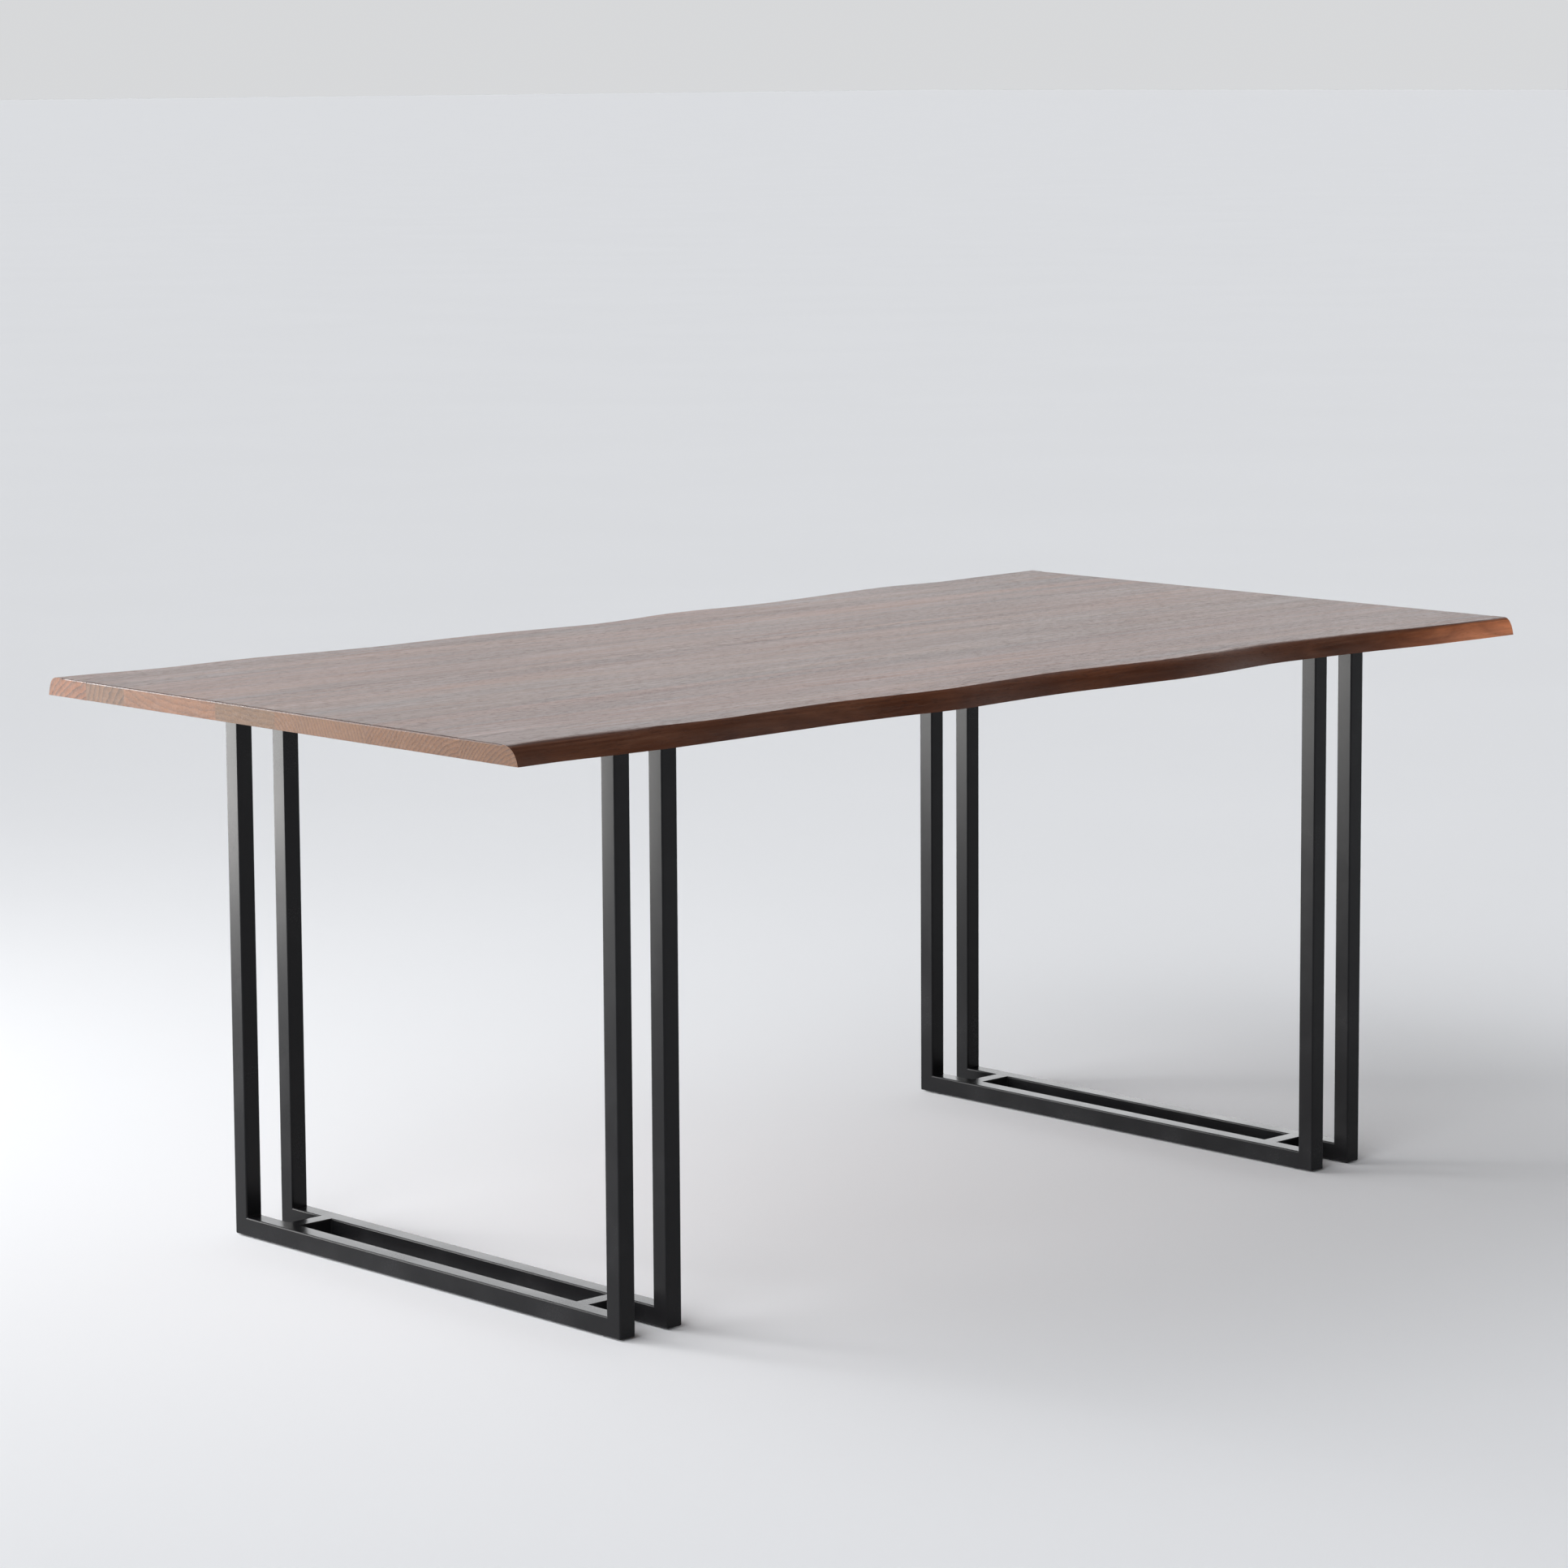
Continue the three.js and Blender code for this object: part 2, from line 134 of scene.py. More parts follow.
class Graph:
    """A node tree, with a short method for each kind of step."""

    def __init__(self, owner: Material | bpy.types.World) -> None:
        """Starts an empty tree.

        Args:
            owner: the material or the world that it belongs to.
        """
        self.owner = owner
        owner.use_nodes = True
        self.tree = owner.node_tree
        self.tree.nodes.clear()

    def step(self, kind: str, **settings: object) -> bpy.types.Node:
        """Adds a node.

        Args:
            kind: the node's type, without its ShaderNode prefix.
            **settings: attributes to set on it.

        Returns:
            The new node.
        """
        node = self.tree.nodes.new("ShaderNode" + kind)
        for key, value in settings.items():
            setattr(node, key, value)
        return node

    def feed(self, socket: Socket, value: object) -> None:
        """Links a socket to an input, or sets the input's own value.

        Args:
            socket: the input.
            value: an output socket, or a plain value.
        """
        if isinstance(value, Socket):
            self.tree.links.new(value, socket)
        elif isinstance(value, tuple) and len(value) == 3 and socket.type == "RGBA":
            socket.default_value = (*value, 1.0)
        else:
            socket.default_value = value

    def place(self, scale: Point = UNCHANGED, shift: Point = ORIGIN, turn: Point = ORIGIN) -> Socket:
        """Gives the table's own coordinates, mapped.

        Args:
            scale: how much finer the pattern is along each axis.
            shift: where the pattern starts, after scaling.
            turn: how the pattern is turned, in radians.

        Returns:
            A vector socket.
        """
        coordinates = self.step("TexCoord")
        mapping = self.step("Mapping")
        self.feed(mapping.inputs["Vector"], coordinates.outputs["Object"])
        self.feed(mapping.inputs["Scale"], scale)
        self.feed(mapping.inputs["Location"], shift)
        self.feed(mapping.inputs["Rotation"], turn)
        return mapping.outputs["Vector"]

    def split(self, vector: Socket) -> tuple[Socket, Socket, Socket]:
        """Splits a vector.

        Args:
            vector: the vector's socket.

        Returns:
            The sockets of its X, Y and Z.
        """
        node = self.step("SeparateXYZ")
        self.feed(node.inputs[0], vector)
        return node.outputs[0], node.outputs[1], node.outputs[2]

    def tilt(self, axis: Axis) -> Socket:
        """Tells how squarely the surface faces along an axis, either way.

        Args:
            axis: the axis.

        Returns:
            A socket that is 0 on a surface along the axis and 1 on one across it.
        """
        facing = self.split(self.step("NewGeometry").outputs["Normal"])
        return self.math("ABSOLUTE", facing[axis.value])

    def math(self, operation: str, a: object, b: object = 0.0, clamp: bool = False) -> Socket:
        """Works out one sum.

        Args:
            operation: the Math node's operation.
            a: its first value.
            b: its second value.
            clamp: whether the result stays from 0 to 1.

        Returns:
            The result's socket.
        """
        node = self.step("Math", operation=operation, use_clamp=clamp)
        self.feed(node.inputs[0], a)
        self.feed(node.inputs[1], b)
        return node.outputs[0]

    def plus(self, a: object, b: object) -> Socket:
        """Adds two values.

        Args:
            a: the first value.
            b: the second value.

        Returns:
            The result's socket.
        """
        return self.math("ADD", a, b)

    def minus(self, a: object, b: object) -> Socket:
        """Takes one value from another.

        Args:
            a: the value that is taken from.
            b: the value that is taken.

        Returns:
            The result's socket.
        """
        return self.math("SUBTRACT", a, b)

    def times(self, a: object, b: object) -> Socket:
        """Multiplies two values.

        Args:
            a: the first value.
            b: the second value.

        Returns:
            The result's socket.
        """
        return self.math("MULTIPLY", a, b)

    def fit(self, value: object, span: Span, result: Span = RISING, eased: bool = False) -> Socket:
        """Maps a range onto another, with both ends held.

        Args:
            value: what is mapped.
            span: the two values that give the two results.
            result: the two results.
            eased: whether it sets off and arrives slowly.

        Returns:
            The result's socket.
        """
        node = self.step("MapRange", clamp=True, interpolation_type="SMOOTHSTEP" if eased else "LINEAR")
        names = ("Value", "From Min", "From Max", "To Min", "To Max")
        for name, number in zip(names, (value, *span, *result)):
            self.feed(node.inputs[name], number)
        return node.outputs["Result"]

    def noise(self, pattern: Pattern, seed: float = 0.0) -> Socket:
        """Reads a noise from 0 to 1.

        Args:
            pattern: its shape.
            seed: how far it is shifted along the axes that the pattern names.

        Returns:
            The noise's socket.
        """
        shift = tuple(seed * share for share in pattern.seeded)
        where = self.place(pattern.stretch, shift, pattern.turn)
        node = self.step("TexNoise")
        self.feed(node.inputs["Vector"], where)
        self.feed(node.inputs["Scale"], pattern.scale)
        self.feed(node.inputs["Detail"], pattern.detail)
        self.feed(node.inputs["Roughness"], pattern.rough)
        self.feed(node.inputs["Distortion"], pattern.warp)
        return node.outputs["Fac"]

    def ramp(self, value: Socket, stops: list[tuple[float, Colour]]) -> Socket:
        """Turns a value into a colour.

        Args:
            value: from 0 to 1.
            stops: pairs of place and colour, in order.

        Returns:
            The colour's socket.
        """
        node = self.step("ValToRGB")
        elements = node.color_ramp.elements
        elements[0].position, elements[1].position = stops[0][0], stops[-1][0]
        elements[0].color, elements[1].color = (*stops[0][1], 1.0), (*stops[-1][1], 1.0)
        for position, colour in stops[1:-1]:
            elements.new(position).color = (*colour, 1.0)
        self.feed(node.inputs["Fac"], value)
        return node.outputs["Color"]

    def blend(self, share: object, a: object, b: object, how: str = "MIX") -> Socket:
        """Mixes two colours.

        Args:
            share: how much of the second there is.
            a: the first colour.
            b: the second colour.
            how: the blend type.

        Returns:
            The mixed colour's socket.
        """
        node = self.step("Mix", data_type="RGBA", blend_type=how, clamp_factor=True)
        self.feed(node.inputs[0], share)
        self.feed(node.inputs[6], a)
        self.feed(node.inputs[7], b)
        return node.outputs[2]

    def tint(self, colour: Socket, tone: object) -> Socket:
        """Multiplies a colour by a tone.

        Args:
            colour: the colour.
            tone: the tone.

        Returns:
            The tinted colour's socket.
        """
        return self.blend(1.0, colour, tone, "MULTIPLY")

    def bump(self, height: Socket, relief: Span) -> Socket:
        """Turns a height into a normal.

        Args:
            height: from 0 to 1.
            relief: how much of it is used, and how deep it is.

        Returns:
            The normal's socket.
        """
        node = self.step("Bump")
        self.feed(node.inputs["Strength"], relief[0])
        self.feed(node.inputs["Distance"], relief[1])
        self.feed(node.inputs["Height"], height)
        return node.outputs["Normal"]

    def surface(self, **inputs: object) -> Material:
        """Closes the tree with a Principled shader.

        Args:
            **inputs: the shader's inputs, with underscores for spaces.

        Returns:
            The finished material.
        """
        shader = self.step("BsdfPrincipled")
        for name, value in inputs.items():
            self.feed(shader.inputs[name.replace("_", " ")], value)
        output = self.step("OutputMaterial")
        self.feed(output.inputs["Surface"], shader.outputs["BSDF"])
        return self.owner


# --- the wood's stain and grain

# The stain on the long faces, from where it lies heaviest to where it lies lightest, and on the ends.
STAIN_DARK: Colour = (0.040, 0.0120, 0.0060)
STAIN_MIDDLE: Colour = (0.122, 0.0430, 0.0205)
STAIN_LIGHT: Colour = (0.215, 0.0960, 0.0520)
STAIN_STOPS = [(0.08, STAIN_DARK), (0.5, STAIN_MIDDLE), (0.95, STAIN_LIGHT)]
END_STOPS = [(0.0, (0.042, 0.0140, 0.0048)), (1.0, (0.190, 0.0800, 0.0300))]
HUE_STOPS = [(0.0, (1.15, 1.05, 0.92)), (1.0, (0.92, 1.00, 1.14))]
HUE_SPAN: Span = (0.34, 0.66)

# Growth rings: how far the tree bends, how unevenly it grew, and how sharply late wood stops.
RING_BEND = Pattern((0.9, 5.0, 5.0), scale=1.6, seeded=(1, 0, 0))
BEND_SPAN: Span = (0.2, 0.8)
BEND_REACH: Span = (-0.011, 0.011)
RING_WANDER = Pattern((2.0, 40.0, 40.0), detail=3.0, rough=0.6, seeded=(0, 1, 0))
WANDER_RINGS = 1.3
RING_POWER = 2.2

FIBRES = Pattern((3.0, 260.0, 260.0), detail=4.0, rough=0.62, warp=0.15, seeded=(1, 1, 0))
BANDS = Pattern((1.1, 17.0, 17.0), scale=1.3, detail=3.0, rough=0.55, warp=0.35, seeded=(1, 0, 1))
HUE = Pattern((1.4, 8.0, 8.0), warp=0.6, seeded=(1, 1, 1))
SPECKS = Pattern((1.0, 420.0, 420.0), detail=3.0, rough=0.6, seeded=(0, 1, 0))
PORES = Pattern((75.0, 900.0, 900.0), detail=1.0, seeded=(0, 1, 1))
PORE_SPAN: Span = (0.60, 0.72)
FLECKS = Pattern((62.0, 400.0, 400.0), rough=0.65, warp=0.2, seeded=(1, 0, 1))
FLECK_SPAN: Span = (0.55, 0.69)
CROWDING = Pattern((1.6, 11.0, 11.0), seeded=(0, 1, 0))
CROWD_SPAN: Span = (0.38, 0.60)
CROWD_SHARE: Span = (0.25, 1.0)

# The outer flank: its figure, where it counts as one, and where along the table painted light from the
# right end lightens it.
FIGURE = Pattern((7.0, 9.0, 26.0), detail=3.0, rough=0.55, warp=1.8, seeded=(1, 0, 0), turn=(0.0, 0.5, 0.0))
FIGURE_SPAN: Span = (0.32, 0.68)
FIGURE_DARK: Colour = (0.58, 0.52, 0.48)
FLANK_TILT: Span = (0.60, 0.95)
FLANK_EVENNESS = 0.65
PAINTED_LIGHT_SPAN: Span = (0.56, 0.97)

# How squarely a surface faces along the table: on an end, on its round, and on the round's lower turn.
END_TILT: Span = (0.80, 0.92)
ARRIS_TILT: Span = (0.10, 0.30)
POLISH_START: Span = (0.30, 0.70)
POLISH_STOP: Span = (0.96, 0.995)

# What each part of the grain adds to the shade of a long face and of an end.
BAND_SHADE = 0.44
FIBRE_SHADE = 0.42
RING_SHADE: Span = (0.14, 0.0)
END_RING_SHADE = -1.5
END_SHADE = 0.92
END_SPECK_SPAN: Span = (0.25, 0.75)
END_SPECK_SHADE: Span = (-0.26, 0.18)
END_BAND_SHADE: Span = (-0.14, 0.10)

# How dark the stain is in a pore, in a fleck and on a glue line (long face, end), and how far an end's
# round is darkened.
PORE_STAIN = 0.5
FLECK_STAIN = 0.7
ARRIS_DARKENING = 0.75
LINE_STAIN: Span = (0.55, 0.12)
LINE_HALF = 0.0007

# Roughness: of the fibres, what pores, flecks and ends add, and what the burnished round loses.
ROUGH_SPAN: Span = (0.28, 0.72)
ROUGHNESS: Span = (0.34, 0.54)
PORE_ROUGH = 0.20
FLECK_ROUGH = 0.16
END_ROUGH = 0.26
POLISH = 0.30

# Relief: how high the fibres stand, how deep pores, flecks and glue lines lie, and the whole.
FIBRE_HEIGHT = 0.5
PORE_DEPTH = 0.6
FLECK_DEPTH = 0.7
LINE_DEPTH = 0.5
RELIEF: Span = (0.50, 0.0005)

WOOD_SPECULAR = 0.5
LACQUER = 0.12
LACQUER_ROUGH = 0.30


# --- finishes


@dataclass(frozen=True)
class Grain:
    """A stave's grain: sockets that run from 0 to 1.

    Attributes:
        rings: from early to late wood.
        fibres: the fine streaks along the grain.
        bands: the broad soft bands of darker and lighter wood.
        pores: the open pores.
        flecks: the dark flecks.
    """

    rings: Socket
    fibres: Socket
    bands: Socket
    pores: Socket
    flecks: Socket


@dataclass(frozen=True)
class StaveWood:
    """Brown stained hardwood, as one stave shows it.

    Attributes:
        pith: where the middle of the tree lay, (Y, Z).
        ring: the spacing of its growth rings.
        contrast: how strongly the rings show on an end.
        tone: what its long faces' colour is multiplied by.
        end_tone: what its end faces' colour is multiplied by.
        seed: where its noises are read, so that no two staves match.
        flank_painted_light: painted light: what an outer flank's colour is multiplied by at the table's
            right end.
    """

    pith: Span
    ring: float
    contrast: float
    tone: Colour
    end_tone: Colour
    seed: float
    flank_painted_light: Colour = UNCHANGED

    def rings(self, graph: Graph) -> Socket:
        """Reads the growth rings: circles about the pith, bent a little along the tree.

        Args:
            graph: the material's tree.

        Returns:
            A socket that runs from 0, early wood, to 1, late wood.
        """
        bend = graph.fit(graph.noise(RING_BEND, self.seed), BEND_SPAN, BEND_REACH)
        _, across, up = graph.split(graph.place())
        across = graph.minus(graph.plus(across, bend), self.pith[0])
        up = graph.minus(up, self.pith[1])
        square = graph.plus(graph.times(across, across), graph.times(up, up))
        phase = graph.times(graph.math("SQRT", square), 1.0 / self.ring)
        wander = graph.times(graph.noise(RING_WANDER, self.seed), WANDER_RINGS)
        saw = graph.math("FRACT", graph.plus(phase, wander))
        return graph.math("POWER", saw, RING_POWER)

    def flecks(self, graph: Graph) -> Socket:
        """Reads the dark flecks, where pores lie in rows; they crowd into some parts of the stave.

        Args:
            graph: the material's tree.

        Returns:
            A socket that is 1 in a fleck.
        """
        marks = graph.fit(graph.noise(FLECKS, self.seed), FLECK_SPAN)
        return graph.times(marks, graph.fit(graph.noise(CROWDING, self.seed), CROWD_SPAN, CROWD_SHARE))

    def grain(self, graph: Graph) -> Grain:
        """Reads all of the stave's grain.

        Args:
            graph: the material's tree.

        Returns:
            The grain's sockets.
        """
        return Grain(
            rings=self.rings(graph),
            fibres=graph.noise(FIBRES, self.seed),
            bands=graph.noise(BANDS, self.seed),
            pores=graph.fit(graph.noise(PORES, self.seed), PORE_SPAN),
            flecks=self.flecks(graph),
        )

    def long_colour(self, graph: Graph, grain: Grain) -> Socket:
        """Colours the long faces.

        Args:
            graph: the material's tree.
            grain: the stave's grain.

        Returns:
            The colour's socket.
        """
        shade = graph.times(graph.fit(grain.bands, MOST), BAND_SHADE)
        shade = graph.plus(shade, graph.times(graph.fit(grain.fibres, MOST), FIBRE_SHADE))
        shade = graph.plus(shade, graph.fit(grain.rings, RISING, RING_SHADE))
        hue = graph.ramp(graph.fit(graph.noise(HUE, self.seed), HUE_SPAN), HUE_STOPS)
        colour = graph.tint(graph.tint(graph.ramp(shade, STAIN_STOPS), self.tone), hue)
        colour = graph.blend(graph.times(grain.pores, PORE_STAIN), colour, STAIN_DARK)
        colour = graph.blend(graph.times(grain.flecks, FLECK_STAIN), colour, STAIN_DARK)
        return colour if self.flank_painted_light == UNCHANGED else self.flank(graph, colour)

    def flank(self, graph: Graph, colour: Socket) -> Socket:
        """Colours an outer flank: figured, and lightened towards the right end by painted light.

        Args:
            graph: the material's tree.
            colour: the long faces' colour.

        Returns:
            The colour, changed on the flank only.
        """
        share = graph.fit(graph.tilt(Axis.Z), FLANK_TILT, FALLING)
        along, _, _ = graph.split(graph.place())
        # Painted light: the flank grows lighter towards the right end, as if lit from there.
        painted_light_share = graph.times(share, graph.fit(along, PAINTED_LIGHT_SPAN, eased=True))
        tone = graph.blend(painted_light_share, UNCHANGED, self.flank_painted_light)
        colour = graph.blend(graph.times(share, FLANK_EVENNESS), colour, STAIN_MIDDLE)
        colour = graph.tint(colour, tone)
        figure = graph.fit(graph.noise(FIGURE, self.seed), FIGURE_SPAN)
        return graph.blend(graph.times(share, figure), colour, graph.tint(colour, FIGURE_DARK))

    def end_colour(self, graph: Graph, grain: Grain) -> Socket:
        """Colours the end faces.

        Args:
            graph: the material's tree.
            grain: the stave's grain.

        Returns:
            The colour's socket.
        """
        specks = graph.noise(SPECKS, self.seed)
        shade = graph.plus(graph.times(grain.rings, END_RING_SHADE * self.contrast), END_SHADE)
        shade = graph.plus(shade, graph.fit(specks, END_SPECK_SPAN, END_SPECK_SHADE))
        shade = graph.math("ADD", shade, graph.fit(grain.bands, MOST, END_BAND_SHADE), clamp=True)
        return graph.tint(graph.ramp(shade, END_STOPS), self.end_tone)

    def polish(self, graph: Graph) -> Socket:
        """Tells the lower turn of an end's round, which sanding and handling have burnished.

        Args:
            graph: the material's tree.

        Returns:
            A socket that is 1 there.
        """
        tilt = graph.tilt(Axis.X)
        return graph.times(graph.fit(tilt, POLISH_START), graph.fit(tilt, POLISH_STOP, FALLING))

    def joint_lines(self, graph: Graph, low: float, high: float) -> Socket:
        """Draws the thin glue lines at a stave's two sides.

        Args:
            graph: the material's tree.
            low: the Y of its front side.
            high: the Y of its back side.

        Returns:
            A socket that is 1 on a line and 0 away from it.
        """
        _, across, _ = graph.split(graph.place())
        nearest = graph.math("MINIMUM", graph.minus(across, low), graph.minus(high, across))
        return graph.fit(nearest, (0.0, LINE_HALF), FALLING)

    def build(self, name: str, low: float, high: float) -> Material:
        """Makes the stave's material.

        Args:
            name: the material's name.
            low: the Y of the stave's front glue line.
            high: the Y of its back glue line.

        Returns:
            The material.
        """
        graph = Graph(bpy.data.materials.new(name))
        grain = self.grain(graph)
        end = graph.fit(graph.tilt(Axis.X), END_TILT)
        arris = graph.math("SUBTRACT", graph.fit(graph.tilt(Axis.X), ARRIS_TILT), end, clamp=True)
        line = graph.times(self.joint_lines(graph, low, high), graph.fit(end, RISING, LINE_STAIN))

        # An end's round is made darker.
        colour = graph.blend(graph.times(arris, ARRIS_DARKENING), self.long_colour(graph, grain), STAIN_DARK)
        colour = graph.blend(end, colour, self.end_colour(graph, grain))
        colour = graph.blend(line, colour, STAIN_DARK)

        rough = graph.fit(grain.fibres, ROUGH_SPAN, ROUGHNESS)
        rough = graph.plus(rough, graph.times(grain.pores, PORE_ROUGH))
        rough = graph.plus(rough, graph.times(grain.flecks, FLECK_ROUGH))
        rough = graph.plus(rough, graph.times(end, END_ROUGH))
        rough = graph.minus(rough, graph.times(self.polish(graph), POLISH))

        height = graph.minus(graph.times(grain.fibres, FIBRE_HEIGHT), graph.times(grain.pores, PORE_DEPTH))
        height = graph.minus(height, graph.times(grain.flecks, FLECK_DEPTH))
        height = graph.minus(height, graph.times(line, LINE_DEPTH))
        return graph.surface(
            Base_Color=colour,
            Roughness=rough,
            Normal=graph.bump(height, RELIEF),
            Specular_IOR_Level=WOOD_SPECULAR,
            Coat_Weight=LACQUER,
            Coat_Roughness=LACQUER_ROUGH,
        )


@dataclass(frozen=True)
class PowderCoat:
    """Satin black powder coat on welded steel.

    Attributes:
        colour: its black.
        edge_highlight_colour: a painted highlight: the lighter colour along sharp edges.
        roughness: from where it lies smoothest to where it lies coarsest.
        specular: how strongly it mirrors head-on.
        peel: how much of its orange peel shows, and how deep it is.
        peel_rough: what the peel takes from and adds to the roughness.
        edge: the sharpness between which the painted edge highlight starts.
        highlight_patches: the cloudiness between which the painted highlight sets in, and how far it goes.
        texture: the peel's pattern.
        cloud: the pattern of the coat's broad unevenness.
    """

    colour: Colour = (0.0080, 0.0080, 0.0088)
    edge_highlight_colour: Colour = (0.030, 0.030, 0.032)
    roughness: Span = (0.21, 0.28)
    specular: float = 0.17
    peel: Span = (0.5, 0.00003)
    peel_rough: Span = (-0.02, 0.02)
    edge: Span = (0.52, 0.62)
    highlight_patches: tuple[Span, Span] = ((0.45, 0.65), (0.15, 0.6))
    texture: Pattern = Pattern(scale=900.0, rough=0.55)
    cloud: Pattern = Pattern(scale=9.0, detail=3.0)

    def build(self, name: str) -> Material:
        """Makes the coat's material.

        Args:
            name: the material's name.

        Returns:
            The material.
        """
        graph = Graph(bpy.data.materials.new(name))
        texture, cloud = graph.noise(self.texture), graph.noise(self.cloud)
        # Painted highlight: sharp edges are made lighter, in cloudy patches, for the highlights along the
        # tube's rounds.
        edge = graph.fit(graph.step("NewGeometry").outputs["Pointiness"], self.edge)
        painted_highlight = graph.times(edge, graph.fit(cloud, *self.highlight_patches))
        rough = graph.fit(cloud, MOST, self.roughness)
        return graph.surface(
            Base_Color=graph.blend(painted_highlight, self.colour, self.edge_highlight_colour),
            Roughness=graph.plus(rough, graph.fit(texture, MOST, self.peel_rough)),
            Normal=graph.bump(texture, self.peel),
            Specular_IOR_Level=self.specular,
        )


@dataclass(frozen=True)
class PlatedMetal:
    """Bright plated or turned metal.

    Attributes:
        light: its colour where it is clean.
        dull: its colour where the plating has clouded.
        roughness: from where it lies smoothest to where it lies coarsest.
        cloud: the pattern of the clouding.
        scratches: the pattern of the scratches.
        scratch_relief: how much of the scratches shows, and how deep they are.
    """

    light: Colour
    dull: Colour
    roughness: Span
    cloud: Pattern = Pattern(scale=220.0, detail=4.0, rough=0.6, warp=0.4)
    scratches: Pattern = Pattern((900.0, 900.0, 140.0))
    scratch_relief: Span = (0.25, 0.00005)

    def build(self, name: str) -> Material:
        """Makes the metal's material.

        Args:
            name: the material's name.

        Returns:
            The material.
        """
        graph = Graph(bpy.data.materials.new(name))
        cloud, scratches = graph.noise(self.cloud), graph.noise(self.scratches)
        return graph.surface(
            Base_Color=graph.blend(graph.fit(cloud, CORE), self.light, self.dull),
            Metallic=1.0,
            Roughness=graph.fit(cloud, MOST, self.roughness),
            Normal=graph.bump(scratches, self.scratch_relief),
        )


@dataclass(frozen=True)
class MouldedPlastic:
    """Black moulded plastic, finely grained and scuffed where it slides.

    Attributes:
        colour: where it is new.
        scuffed: where the floor has rubbed it.
        scuff_height: how far up the rubbing reaches.
        scuff_span: the graininess between which it scuffs.
        roughness: from where it lies smoothest to where it lies coarsest.
        grain: the pattern of its graining.
        grain_relief: how much of the graining shows, and how deep it is.
    """

    colour: Colour = (0.012, 0.012, 0.013)
    scuffed: Colour = (0.060, 0.058, 0.056)
    scuff_height: float = 0.0015
    scuff_span: Span = (0.4, 0.6)
    roughness: Span = (0.5, 0.65)
    grain: Pattern = Pattern(scale=400.0, detail=3.0, rough=0.6)
    grain_relief: Span = (0.3, 0.00005)

    def build(self, name: str) -> Material:
        """Makes the plastic's material.

        Args:
            name: the material's name.

        Returns:
            The material.
        """
        graph = Graph(bpy.data.materials.new(name))
        _, _, up = graph.split(graph.place())
        grain = graph.noise(self.grain)
        low = graph.fit(up, (0.0, self.scuff_height), FALLING)
        scuff = graph.times(low, graph.fit(grain, self.scuff_span))
        return graph.surface(
            Base_Color=graph.blend(scuff, self.colour, self.scuffed),
            Roughness=graph.fit(grain, MOST, self.roughness),
            Normal=graph.bump(grain, self.grain_relief),
        )


# --- pieces


def finish_piece(
    mesh: Shape,
    name: str,
    material: Material,
    nodes: list[str],
    crease: float = PLAIN_CREASE,
) -> None:
    """Turns a shape into a finished piece on the table's one body.

    Args:
        mesh: the shape, which is freed.
        name: the piece's name.
        material: its finish.
        nodes: the CAD nodes that it replaces.
        crease: edges sharper than this, in degrees, stay sharp when shaded.
    """
    bmesh.ops.remove_doubles(mesh, verts=mesh.verts, dist=MERGED)
    bmesh.ops.recalc_face_normals(mesh, faces=mesh.faces)
    for face in mesh.faces:
        face.smooth = True
    for edge in mesh.edges:
        edge.smooth = edge.is_manifold and edge.calc_face_angle(0.0) < math.radians(crease)
    data = bpy.data.meshes.new(name)
    mesh.to_mesh(data)
    mesh.free()
    data.materials.append(material)
    piece = bpy.data.objects.new(name, data)
    bpy.context.scene.collection.objects.link(piece)
    piece.modifiers.new("evened_shading", "WEIGHTED_NORMAL").keep_sharp = True
    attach(piece, "root")
    if nodes:
        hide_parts(*nodes)


def block(low: Vector, high: Vector) -> Shape:
    """Makes a plain block between two corners, for other steps to shape.

    Args:
        low: its lowest corner.
        high: its highest corner.

    Returns:
        The new shape.
    """
    mesh = bmesh.new()
    size = high - low
    place = Matrix.Translation((low + high) / 2) @ Matrix.Diagonal((*size, 1.0))
    bmesh.ops.create_cube(mesh, size=1.0, matrix=place)
    return mesh


def add_drum(
    mesh: Shape, middle: Vector, radius: float, depth: float, sides: int, turn: float = 0.0,
) -> None:
    """Adds an upright drum, or a prism, to a shape.

    Args:
        mesh: the shape.
        middle: the drum's middle.
        radius: its radius, out to its corners.
        depth: its height.
        sides: how many sides it has.
        turn: how far it is turned, in radians.
    """
    place = Matrix.Translation(middle) @ Matrix.Rotation(turn, 4, "Z")
    bmesh.ops.create_cone(
        mesh, cap_ends=True, segments=sides, radius1=radius, radius2=radius, depth=depth, matrix=place,
    )


def round_edges(mesh: Shape, edges: list[Edge], radius: float, steps: int) -> None:
    """Rounds some of a shape's edges.

    Args:
        mesh: the shape.
        edges: the edges.
        radius: how far each is set back.
        steps: how many facets the round has.
    """
    bmesh.ops.bevel(
        mesh, geom=edges, offset=radius, offset_type="OFFSET", segments=steps, profile=0.5,
        affect="EDGES", clamp_overlap=True, material=-1,
    )


def is_along(edge: Edge, axis: Axis) -> bool:
    """Tells whether an edge runs along an axis.

    Args:
        edge: the edge.
        axis: the axis.

    Returns:
        Whether it does, to within about 3 degrees.
    """
    way = edge.verts[1].co - edge.verts[0].co
    return abs(way[axis.value]) > 0.999 * way.length


def bottom_edges(mesh: Shape, floor: float) -> list[Edge]:
    """Finds the edges that lie at a shape's bottom.

    Args:
        mesh: the shape.
        floor: the bottom's height.

    Returns:
        The edges.
    """
    return [e for e in mesh.edges if max(v.co.z for v in e.verts) < floor + MERGED]


def grow(mesh: Shape, outline: list[Vector], way: Point) -> None:
    """Adds a flat outline to a shape and pulls it out into a solid.

    Args:
        mesh: the shape.
        outline: the outline's corners, in order.
        way: how far and which way it is pulled.
    """
    side = mesh.faces.new([mesh.verts.new(corner) for corner in outline])
    grown = bmesh.ops.extrude_face_region(mesh, geom=[side])["geom"]
    moved = [part for part in grown if isinstance(part, bmesh.types.BMVert)]
    bmesh.ops.translate(mesh, verts=moved, vec=way)


